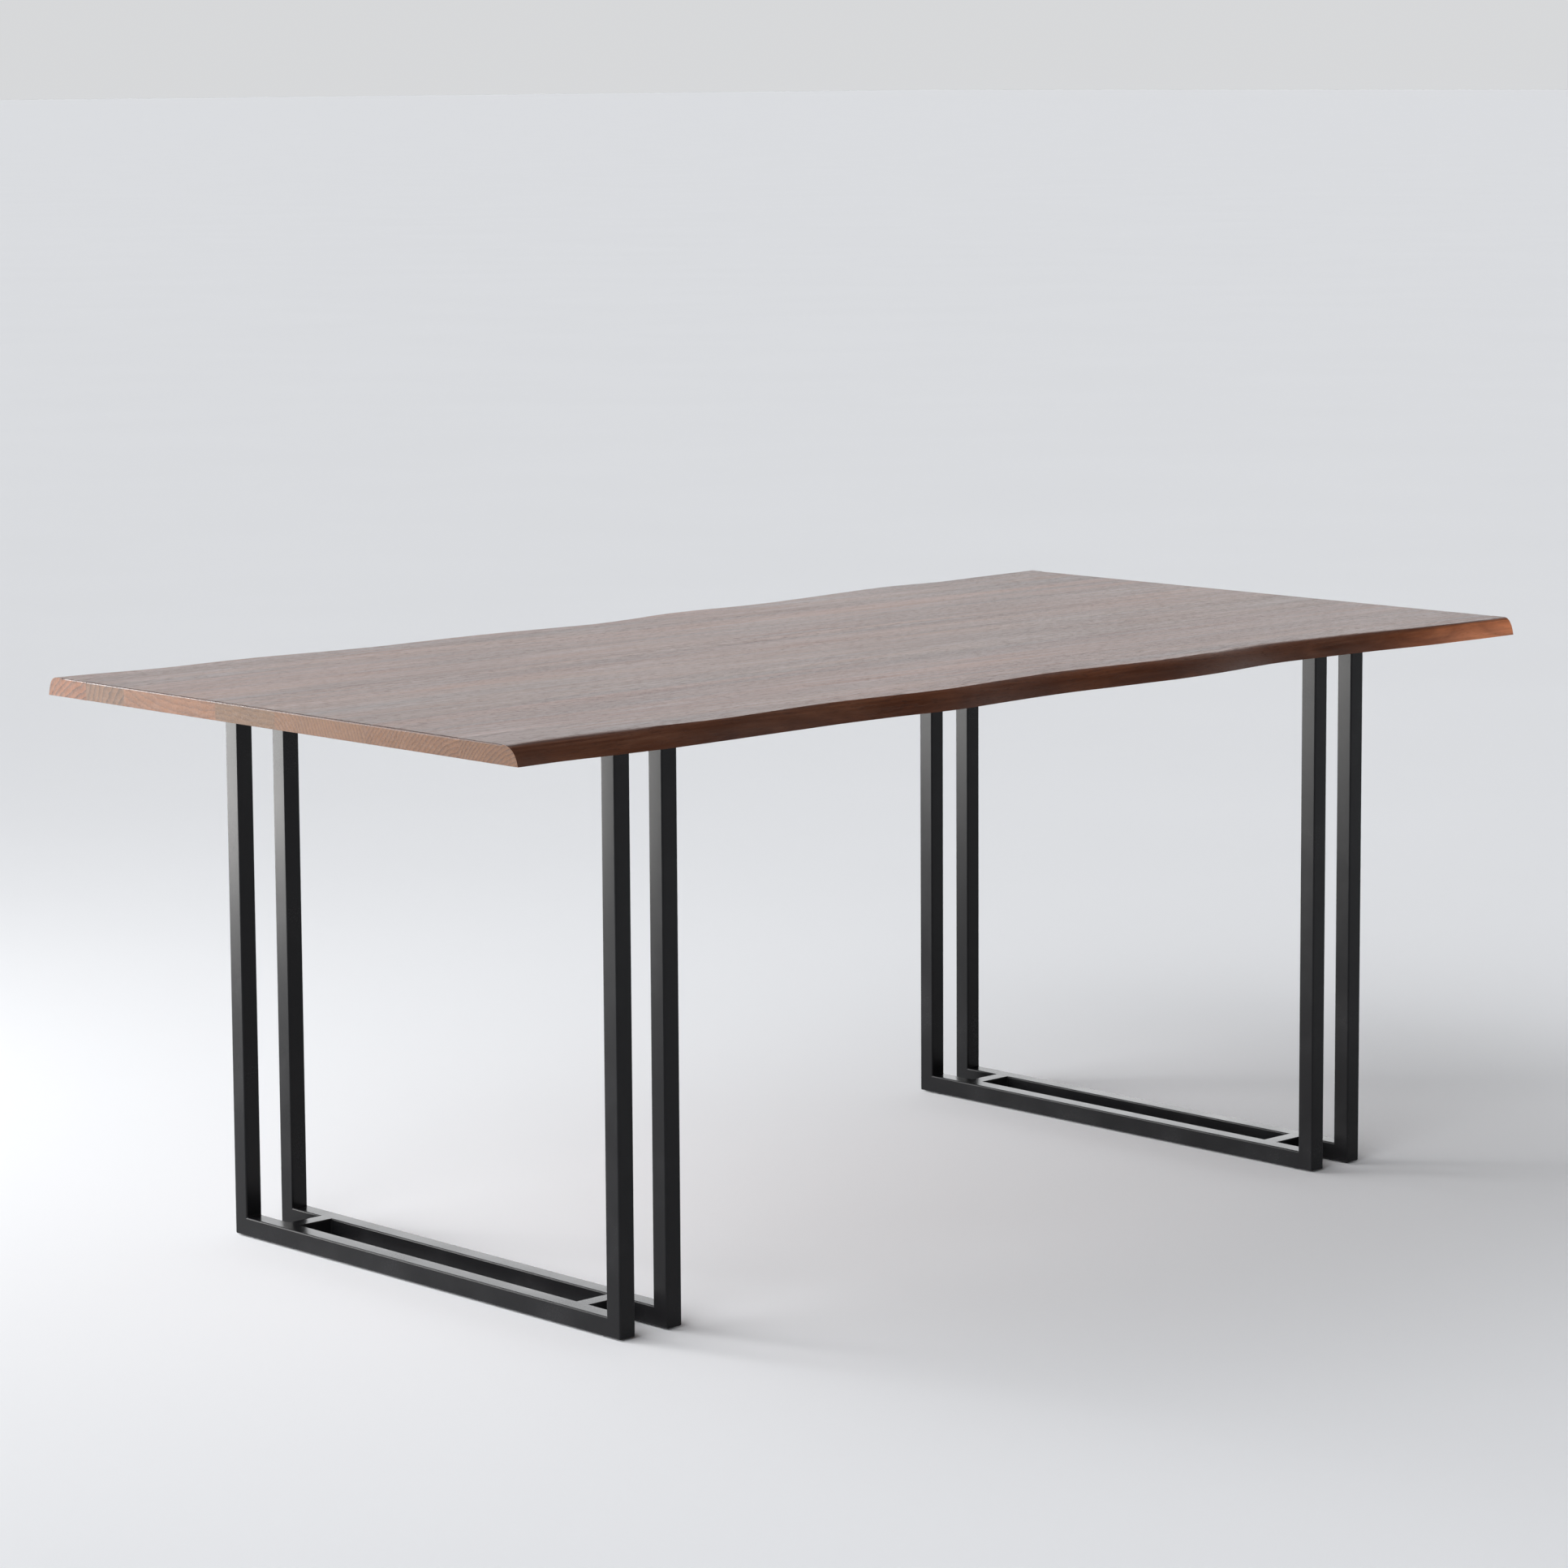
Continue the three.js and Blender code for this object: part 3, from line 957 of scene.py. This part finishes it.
def copy_of_node(node: str, flat: float) -> Shape:
    """Copies a CAD node's mesh, merged into one skin, with flat areas made whole.

    Args:
        node: the CAD node's name.
        flat: faces within this angle of each other, in degrees, become one.

    Returns:
        The new shape.
    """
    mesh = bmesh.new()
    mesh.from_mesh(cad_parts[node].data)
    bmesh.ops.remove_doubles(mesh, verts=mesh.verts, dist=MERGED)
    bmesh.ops.dissolve_limit(
        mesh, angle_limit=math.radians(flat), verts=mesh.verts, edges=mesh.edges, delimit={"NORMAL"},
    )
    return mesh


@dataclass
class StavedTop:
    """The top: six plain staves and two whose outer edge follows the tree.

    Attributes:
        end_round: radius of the upper arris at both ends.
        end_steps: how many facets that round has.
        arris: radius that sanding leaves on the lower arris at both ends.
        woods: each stave's wood, by CAD node, front to back.
    """

    end_round: float = 0.0032
    end_steps: int = 6
    arris: float = 0.0006
    woods: dict[str, StaveWood] = field(default_factory=lambda: {
        # The last colour of each live-edge plank is painted light on its flank towards the right end.
        "live_edge_stave_front": StaveWood(
            (-0.500, 0.640), 0.0052, 0.40, (1.02, 0.98, 0.95), (1.00, 1.02, 1.06), 1.7, (7.4, 7.0, 5.8)),
        "stave_1": StaveWood((-0.410, 0.617), 0.0062, 0.34, (1.04, 0.98, 0.94), (1.00, 1.00, 1.02), 4.1),
        "stave_2": StaveWood((0.043, 0.667), 0.0058, 0.30, (0.93, 1.02, 1.10), (1.02, 1.04, 1.04), 7.9),
        "stave_3": StaveWood((-0.020, 1.500), 0.0070, 0.22, (0.99, 1.00, 1.00), (0.82, 0.95, 1.05), 11.3),
        "stave_4": StaveWood((0.095, 1.600), 0.0060, 0.24, (1.00, 1.00, 1.00), (0.86, 0.98, 1.06), 15.6),
        "stave_5": StaveWood((0.150, 1.200), 0.0088, 0.26, (1.02, 1.00, 0.98), (1.10, 1.02, 0.98), 19.2),
        "stave_6": StaveWood((0.243, 0.690), 0.0105, 0.48, (0.98, 1.00, 1.02), (0.90, 0.96, 1.02), 23.8),
        "live_edge_stave_back": StaveWood(
            (0.340, 0.627), 0.0082, 0.50, (1.02, 0.99, 0.96), (1.22, 1.00, 0.86), 28.4, (1.3, 1.2, 1.1)),
    })

    def plain_stave(self, node: str) -> Shape:
        """Makes a plain stave: square, with the arrises rounded at both ends.

        Args:
            node: its CAD node.

        Returns:
            The new shape.
        """
        low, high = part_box(node)
        mesh = block(low, high)
        upper = [e for e in mesh.edges if is_along(e, Axis.Y) and e.verts[0].co.z > high.z - MERGED]
        round_edges(mesh, upper, self.end_round, self.end_steps)
        lower = [e for e in mesh.edges if is_along(e, Axis.Y) and e.verts[0].co.z < low.z + MERGED]
        round_edges(mesh, lower, self.arris, FINE_STEPS)
        return mesh

    def build(self) -> None:
        """Makes and dresses the eight staves."""
        for node, wood in self.woods.items():
            low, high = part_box(node)
            is_live = node.startswith("live")
            mesh = copy_of_node(node, LIVE_FLAT) if is_live else self.plain_stave(node)
            name = node.replace("live_edge_stave", "live_edge_plank").replace("stave_", "glued_stave_")
            material = wood.build(f"{name}_wood", low.y, high.y)
            crease = LIVE_CREASE if is_live else PLAIN_CREASE
            finish_piece(mesh, name, material, [node], crease)
            LOG.info("%s dressed", name)


@dataclass
class LegSet:
    """One leg set: two U-shaped frames of square tube, joined at the floor and under the top.

    Attributes:
        side: "left" or "right".
        coat: the powder coat's material.
        zinc: the screws' and washers' material.
        brass: the inserts' material.
        plastic: the glides' material.
        tube_round: the tube's own corner radius.
        weld: how far a weld bead reaches along each side of its corner.
        weld_sunk: how deep a bead is sunk into its corner.
        weld_hollow: how much of the reach the bead's hollow face takes.
        plate_arris: the radius on the mounting plate's edges.
        screw_rows: how many screws, washers and inserts the set has.
        head_chamfer: the chamfer under a screw's head.
        shank_radius: a screw's radius.
        washer_arris: the radius on a washer's rim.
        glide_round: the radius on a glide's lower rim.
    """

    side: str
    coat: Material
    zinc: Material
    brass: Material
    plastic: Material
    tube_round: float = 0.0020
    weld: float = 0.0022
    weld_sunk: float = 0.0003
    weld_hollow: float = 0.9
    plate_arris: float = 0.0005
    screw_rows: int = 4
    head_chamfer: float = 0.0007
    shank_radius: float = 0.004
    washer_arris: float = 0.0003
    glide_round: float = 0.0008

    def whole_frame(self, prefix: str) -> Shape:
        """Makes one whole U of tube, its outer corners, inner welds and long edges rounded alike.

        Args:
            prefix: the frame's name, such as left_outer.

        Returns:
            The new shape.
        """
        rail_low, rail_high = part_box(f"{prefix}_floor_rail")
        post_low, post_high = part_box(f"{prefix}_upright_back")
        outer, inner = rail_high.y, post_low.y
        floor, shelf, top = rail_low.z, rail_high.z, post_high.z
        outline = [
            (-outer, floor), (outer, floor), (outer, top), (inner, top),
            (inner, shelf), (-inner, shelf), (-inner, top), (-outer, top),
        ]
        mesh = bmesh.new()
        corners = [Vector((rail_low.x, y, z)) for y, z in outline]
        grow(mesh, corners, (rail_high.x - rail_low.x, 0, 0))
        bmesh.ops.recalc_face_normals(mesh, faces=mesh.faces)
        rounded = [e for e in mesh.edges if min(v.co.z for v in e.verts) < top - MERGED]
        round_edges(mesh, rounded, self.tube_round, ROUND_STEPS)
        return mesh

    def mitred_part(self, whole: Shape, planes: list[tuple[Point, Point]]) -> Shape:
        """Keeps the part of a U that lies behind all the mitre planes.

        Args:
            whole: the whole U.
            planes: pairs of a point on a mitre and the way that is cut off.

        Returns:
            The new shape.
        """
        part = whole.copy()
        for point, way in planes:
            everything = part.verts[:] + part.edges[:] + part.faces[:]
            cut = bmesh.ops.bisect_plane(
                part, geom=everything, dist=EXACT, plane_co=point, plane_no=way, clear_outer=True,
            )["geom_cut"]
            rim = [item for item in cut if isinstance(item, Edge)]
            bmesh.ops.holes_fill(part, edges=rim, sides=0)
        return part

    def build_frame(self, prefix: str) -> None:
        """Makes a frame's rail and its two uprights, mitred into each other.

        Args:
            prefix: the frame's name, such as left_outer.
        """
        whole = self.whole_frame(prefix)
        rail_low, rail_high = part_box(f"{prefix}_floor_rail")
        front = (rail_low.x, rail_low.y, rail_low.z)
        back = (rail_low.x, rail_high.y, rail_low.z)
        parts = {
            "floor_rail": [(front, (0, -1, 1)), (back, (0, 1, 1))],
            "upright_front": [(front, (0, 1, -1)), (ORIGIN, (0, 1, 0))],
            "upright_back": [(back, (0, -1, -1)), (ORIGIN, (0, -1, 0))],
        }
        for node, planes in parts.items():
            mesh = self.mitred_part(whole, planes)
            finish_piece(mesh, f"{prefix}_{node}_coated", self.coat, [f"{prefix}_{node}"])
        whole.free()

    def build_cross_bar(self, end: str) -> None:
        """Makes a cross bar that reaches into the rounds of the two rails, and its four upright weld beads.

        Args:
            end: "front" or "back".
        """
        node = f"{self.side}_cross_bar_{end}"
        low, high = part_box(node)
        reach = Vector((self.tube_round, 0, 0))
        mesh = block(low - reach, high + reach)
        long_edges = [e for e in mesh.edges if is_along(e, Axis.X)]
        round_edges(mesh, long_edges, self.tube_round, ROUND_STEPS)
        finish_piece(mesh, f"{node}_coated", self.coat, [node])
        beads = bmesh.new()
        for x, way_x in ((low.x, 1), (high.x, -1)):
            for y, way_y in ((low.y, -1), (high.y, 1)):
                foot = Vector((x, y, low.z + self.tube_round))
                self.add_bead(beads, foot, (way_x, way_y), high.z - low.z - 2 * self.tube_round)
        finish_piece(beads, f"{node}_welds", self.coat, [])

    def add_bead(self, beads: Shape, foot: Vector, way: tuple[int, int], height: float) -> None:
        """Adds one upright bead with a hollow face to a corner.

        Args:
            beads: the shape that takes it.
            foot: the corner's lower end.
            way: which way, along X and Y, the corner opens.
            height: how tall the bead is.
        """
        sunk, reach = -self.weld_sunk, self.weld
        outline = [(sunk, sunk), (reach, sunk), (reach, 0.0), (0.0, 0.0), (0.0, reach), (sunk, reach)]
        bead = bmesh.new()
        corners = [Vector((foot.x + way[0] * x, foot.y + way[1] * y, foot.z)) for x, y in outline]
        grow(bead, corners, (0, 0, height))
        upright = [e for e in bead.edges if is_along(e, Axis.Z)]
        inner = [e for e in upright if (e.verts[0].co.xy - foot.xy).length < MERGED]
        round_edges(bead, inner, reach * self.weld_hollow, ROUND_STEPS)
        data = bpy.data.meshes.new("bead")
        bead.to_mesh(data)
        bead.free()
        beads.from_mesh(data)
        bpy.data.meshes.remove(data)

    def build_plate(self) -> None:
        """Makes the slotted mounting plate, its cut edges broken."""
        node = f"{self.side}_mounting_plate"
        mesh = copy_of_node(node, PLATE_FLAT)
        sharp = math.radians(PLATE_EDGE)
        arrises = [e for e in mesh.edges if e.is_manifold and e.calc_face_angle(0.0) > sharp]
        round_edges(mesh, arrises, self.plate_arris, FINE_STEPS)
        finish_piece(mesh, f"{node}_coated", self.coat, [node])

    def build_screw(self, row: int) -> None:
        """Makes a hexagon-headed screw: a chamfered head on its shank.

        Args:
            row: which of the set's screws it is, from the front.
        """
        node = f"{self.side}_screw_{row}"
        low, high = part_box(node)
        washer_low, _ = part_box(f"{self.side}_washer_{row}")
        middle = (low + high) / 2
        head, shank = washer_low.z - low.z, high.z - washer_low.z
        mesh = bmesh.new()
        place = Vector((middle.x, middle.y, low.z + head / 2))
        add_drum(mesh, place, (high.y - low.y) / 2, head, 6, math.pi / 6)
        round_edges(mesh, bottom_edges(mesh, low.z), self.head_chamfer, FINE_STEPS)
        place = Vector((middle.x, middle.y, (washer_low.z + high.z) / 2))
        add_drum(mesh, place, self.shank_radius, shank, SHANK_SIDES)
        finish_piece(mesh, f"{node}_plated", self.zinc, [node], SCREW_CREASE)

    def build_washer(self, row: int) -> None:
        """Makes a washer with its rim rolled over.

        Args:
            row: which of the set's washers it is, from the front.
        """
        node = f"{self.side}_washer_{row}"
        low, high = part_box(node)
        mesh = bmesh.new()
        add_drum(mesh, (low + high) / 2, (high.y - low.y) / 2, high.z - low.z, RIM_SIDES)
        level = [e for e in mesh.edges if abs(e.verts[0].co.z - e.verts[1].co.z) < EXACT]
        round_edges(mesh, level, self.washer_arris, FINE_STEPS)
        finish_piece(mesh, f"{node}_plated", self.zinc, [node])

    def build_glide(self, prefix: str, end: str) -> None:
        """Makes a glide under a rail: a low round foot with a softened rim.

        Args:
            prefix: the frame's name, such as left_outer.
            end: "front" or "back".
        """
        node = f"{prefix}_glide_{end}"
        low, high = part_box(node)
        rail_low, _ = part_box(f"{prefix}_floor_rail")
        middle = (low + high) / 2
        thick = rail_low.z - low.z
        mesh = bmesh.new()
        place = Vector((middle.x, middle.y, low.z + thick / 2))
        add_drum(mesh, place, (high.y - low.y) / 2, thick, RIM_SIDES)
        round_edges(mesh, bottom_edges(mesh, low.z), self.glide_round, ROUND_STEPS)
        finish_piece(mesh, f"{node}_moulded", self.plastic, [node])

    def build(self) -> None:
        """Makes and dresses the leg set."""
        for name in ("outer", "inner"):
            prefix = f"{self.side}_{name}"
            self.build_frame(prefix)
            for end in ("front", "back"):
                self.build_glide(prefix, end)
            LOG.info("%s frame dressed", prefix)
        for end in ("front", "back"):
            self.build_cross_bar(end)
        self.build_plate()
        for row in range(1, self.screw_rows + 1):
            self.build_screw(row)
            self.build_washer(row)
            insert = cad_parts[f"{self.side}_insert_{row}"]
            insert.data.materials.clear()
            insert.data.materials.append(self.brass)
        LOG.info("%s fastenings dressed", self.side)


# --- studio


@dataclass(frozen=True)
class SkyPatch:
    """One soft bright region of the surroundings.

    Attributes:
        strength: how bright it is.
        rise: the heights of a direction between which it grows in.
        fall: the heights between which it dies out.
        way: the level direction that it lies towards; all round if it is zero.
        fade: how far a direction must lean that way for none of it, and for all of it.
    """

    strength: float
    rise: Span = (-3.0, -2.0)
    fall: Span = (2.0, 3.0)
    way: Span = (0.0, 0.0)
    fade: Span = (-2.0, -1.0)

    def build(self, graph: Graph, direction: Socket) -> Socket:
        """Works out the patch's brightness.

        Args:
            graph: the world's tree.
            direction: the direction looked in.

        Returns:
            The brightness's socket.
        """
        lean = graph.step("VectorMath", operation="DOT_PRODUCT")
        graph.feed(lean.inputs[0], direction)
        graph.feed(lean.inputs[1], (*self.way, 0.0))
        _, _, up = graph.split(direction)
        share = graph.fit(lean.outputs["Value"], self.fade, (0.0, self.strength), eased=True)
        share = graph.times(share, graph.fit(up, self.rise, eased=True))
        return graph.times(share, graph.fit(up, self.fall, FALLING, eased=True))


@dataclass(frozen=True)
class Softbox:
    """A soft light with a flat, rectangular face.

    Attributes:
        name: its name.
        width: its face's width.
        height: its face's height.
        power: its power, in watts.
        place: where it stands.
        aim: the point that it faces.
        colour: its light's colour.
    """

    name: str
    width: float
    height: float
    power: float
    place: Point
    aim: Point
    colour: Colour = UNCHANGED

    def build(self) -> None:
        """Makes the light and points it; the camera doesn't see it."""
        light = bpy.data.lights.new(self.name, "AREA")
        light.shape = "RECTANGLE"
        light.size, light.size_y = self.width, self.height
        light.energy = self.power
        light.color = self.colour
        lamp = bpy.data.objects.new(self.name, light)
        turn = (Vector(self.aim) - Vector(self.place)).to_track_quat("-Z", "Y")
        lamp.matrix_world = Matrix.Translation(self.place) @ turn.to_matrix().to_4x4()
        lamp.visible_camera = False
        bpy.context.scene.collection.objects.link(lamp)


@dataclass
class Studio:
    """A plain pale floor, soft light from the left and behind, and the camera.

    Attributes:
        floor_side: how far the floor reaches.
        floor_colour: its pale grey.
        floor_shade: what that is multiplied by where the floor is darkest.
        floor_rough: its roughness.
        floor_specular: how strongly it mirrors head-on.
        floor_cloud: the pattern of its unevenness.
        sky_colour: the tint of the surroundings.
        sky: their bright regions: below and just above the horizon, low behind, and high at the left.
        softboxes: a low wide one at the left and behind, and a high small one that draws the arrises.
        camera_place: where the camera stands.
        camera_turn: its yaw, pitch and roll, in degrees.
        focal: its focal length, in millimetres.
        sensor: the width of its picture, in millimetres.
        shift: its vertical shift, as a share of that width.
        clip: the nearest and the farthest that it sees.
    """

    floor_side: float = 400.0
    floor_colour: Colour = (0.860, 0.868, 0.886)
    floor_shade: float = 0.99
    floor_rough: float = 0.9
    floor_specular: float = 0.15
    floor_cloud: Pattern = Pattern(scale=0.9, detail=3.0)
    sky_colour: Colour = (0.975, 0.985, 1.0)
    sky: tuple[SkyPatch, ...] = (
        SkyPatch(0.70, fall=(0.05, 0.15)),
        SkyPatch(2.66, rise=(0.05, 0.15), fall=(0.26, 0.42), way=(0.68, 0.73), fade=(0.0, 0.8)),
        SkyPatch(3.00, rise=(0.10, 0.30), fall=(0.70, 0.95), way=(-0.91, 0.41), fade=(0.0, 0.6)),
    )
    softboxes: tuple[Softbox, ...] = (
        Softbox("left_softbox", 1.7, 0.75, 62.0, (-2.2, 2.66, 0.42), (0.0, -0.04, 0.42), (1.0, 0.99, 0.97)),
        Softbox("high_rim_light", 0.6, 0.6, 15.0, (-1.60, 2.35, 1.97), (0.0, 0.0, 0.50)),
    )
    camera_place: Point = (-4.49447, -4.71140, 1.54161)
    camera_turn: Point = (43.33, 7.35, 0.34)
    focal: float = 111.34
    sensor: float = 36.0
    shift: float = -0.06
    clip: Span = (0.1, 600.0)

    def lay_floor(self) -> None:
        """Lays the floor and gives it a faint unevenness."""
        mesh = bmesh.new()
        bmesh.ops.create_grid(mesh, x_segments=1, y_segments=1, size=self.floor_side / 2)
        data = bpy.data.meshes.new("studio_floor")
        mesh.to_mesh(data)
        mesh.free()
        floor = bpy.data.objects.new("studio_floor", data)
        bpy.context.scene.collection.objects.link(floor)
        graph = Graph(bpy.data.materials.new("studio_floor_paper"))
        cloud = graph.fit(graph.noise(self.floor_cloud), CORE)
        darker = tuple(channel * self.floor_shade for channel in self.floor_colour)
        data.materials.append(graph.surface(
            Base_Color=graph.blend(cloud, self.floor_colour, darker),
            Roughness=self.floor_rough,
            Specular_IOR_Level=self.floor_specular,
        ))

    def hang_sky(self) -> None:
        """Makes the surroundings: dark, with a few soft bright regions added up."""
        graph = Graph(bpy.data.worlds.new("studio_surroundings"))
        direction = graph.step("TexCoord").outputs["Generated"]
        strength = self.sky[0].build(graph, direction)
        for patch in self.sky[1:]:
            strength = graph.plus(strength, patch.build(graph, direction))
        background = graph.step("Background")
        graph.feed(background.inputs["Color"], (*self.sky_colour, 1.0))
        graph.feed(background.inputs["Strength"], strength)
        graph.feed(graph.step("OutputWorld").inputs["Surface"], background.outputs["Background"])
        bpy.context.scene.world = graph.owner

    def stand_camera(self) -> None:
        """Makes the camera."""
        yaw, pitch, roll = (math.radians(angle) for angle in self.camera_turn)
        ahead = Vector((math.sin(yaw) * math.cos(pitch), math.cos(yaw) * math.cos(pitch), -math.sin(pitch)))
        level = Vector((math.cos(yaw), -math.sin(yaw), 0.0))
        down = ahead.cross(level)
        right = math.cos(roll) * level + math.sin(roll) * down
        up = math.sin(roll) * level - math.cos(roll) * down
        data = bpy.data.cameras.new("camera")
        data.lens = self.focal
        data.sensor_width = self.sensor
        data.shift_y = self.shift
        data.clip_start, data.clip_end = self.clip
        camera = bpy.data.objects.new("camera", data)
        turn = Matrix((right, up, -ahead)).transposed().to_4x4()
        camera.matrix_world = Matrix.Translation(self.camera_place) @ turn
        bpy.context.scene.collection.objects.link(camera)
        bpy.context.scene.camera = camera

    def build(self) -> None:
        """Sets up the whole studio."""
        self.lay_floor()
        self.hang_sky()
        for softbox in self.softboxes:
            softbox.build()
        self.stand_camera()
        bpy.context.scene.view_settings.view_transform = "Standard"
        LOG.info("studio ready")


def main() -> None:
    """Builds the table's looks in order and reports each piece."""
    logging.basicConfig(level=logging.INFO, format="%(name)s: %(message)s")
    zinc_looks = PlatedMetal(light=(0.62, 0.63, 0.65), dull=(0.45, 0.46, 0.48), roughness=(0.26, 0.42))
    brass_looks = PlatedMetal(light=(0.70, 0.50, 0.22), dull=(0.52, 0.37, 0.17), roughness=(0.28, 0.44))
    coat = PowderCoat().build("satin_black_powder_coat")
    zinc = zinc_looks.build("zinc_plated_steel")
    brass = brass_looks.build("turned_brass")
    plastic = MouldedPlastic().build("black_glide_plastic")
    StavedTop().build()
    for side in ("left", "right"):
        LegSet(side, coat, zinc, brass, plastic).build()
    Studio().build()


if __name__ == "__main__":
    main()
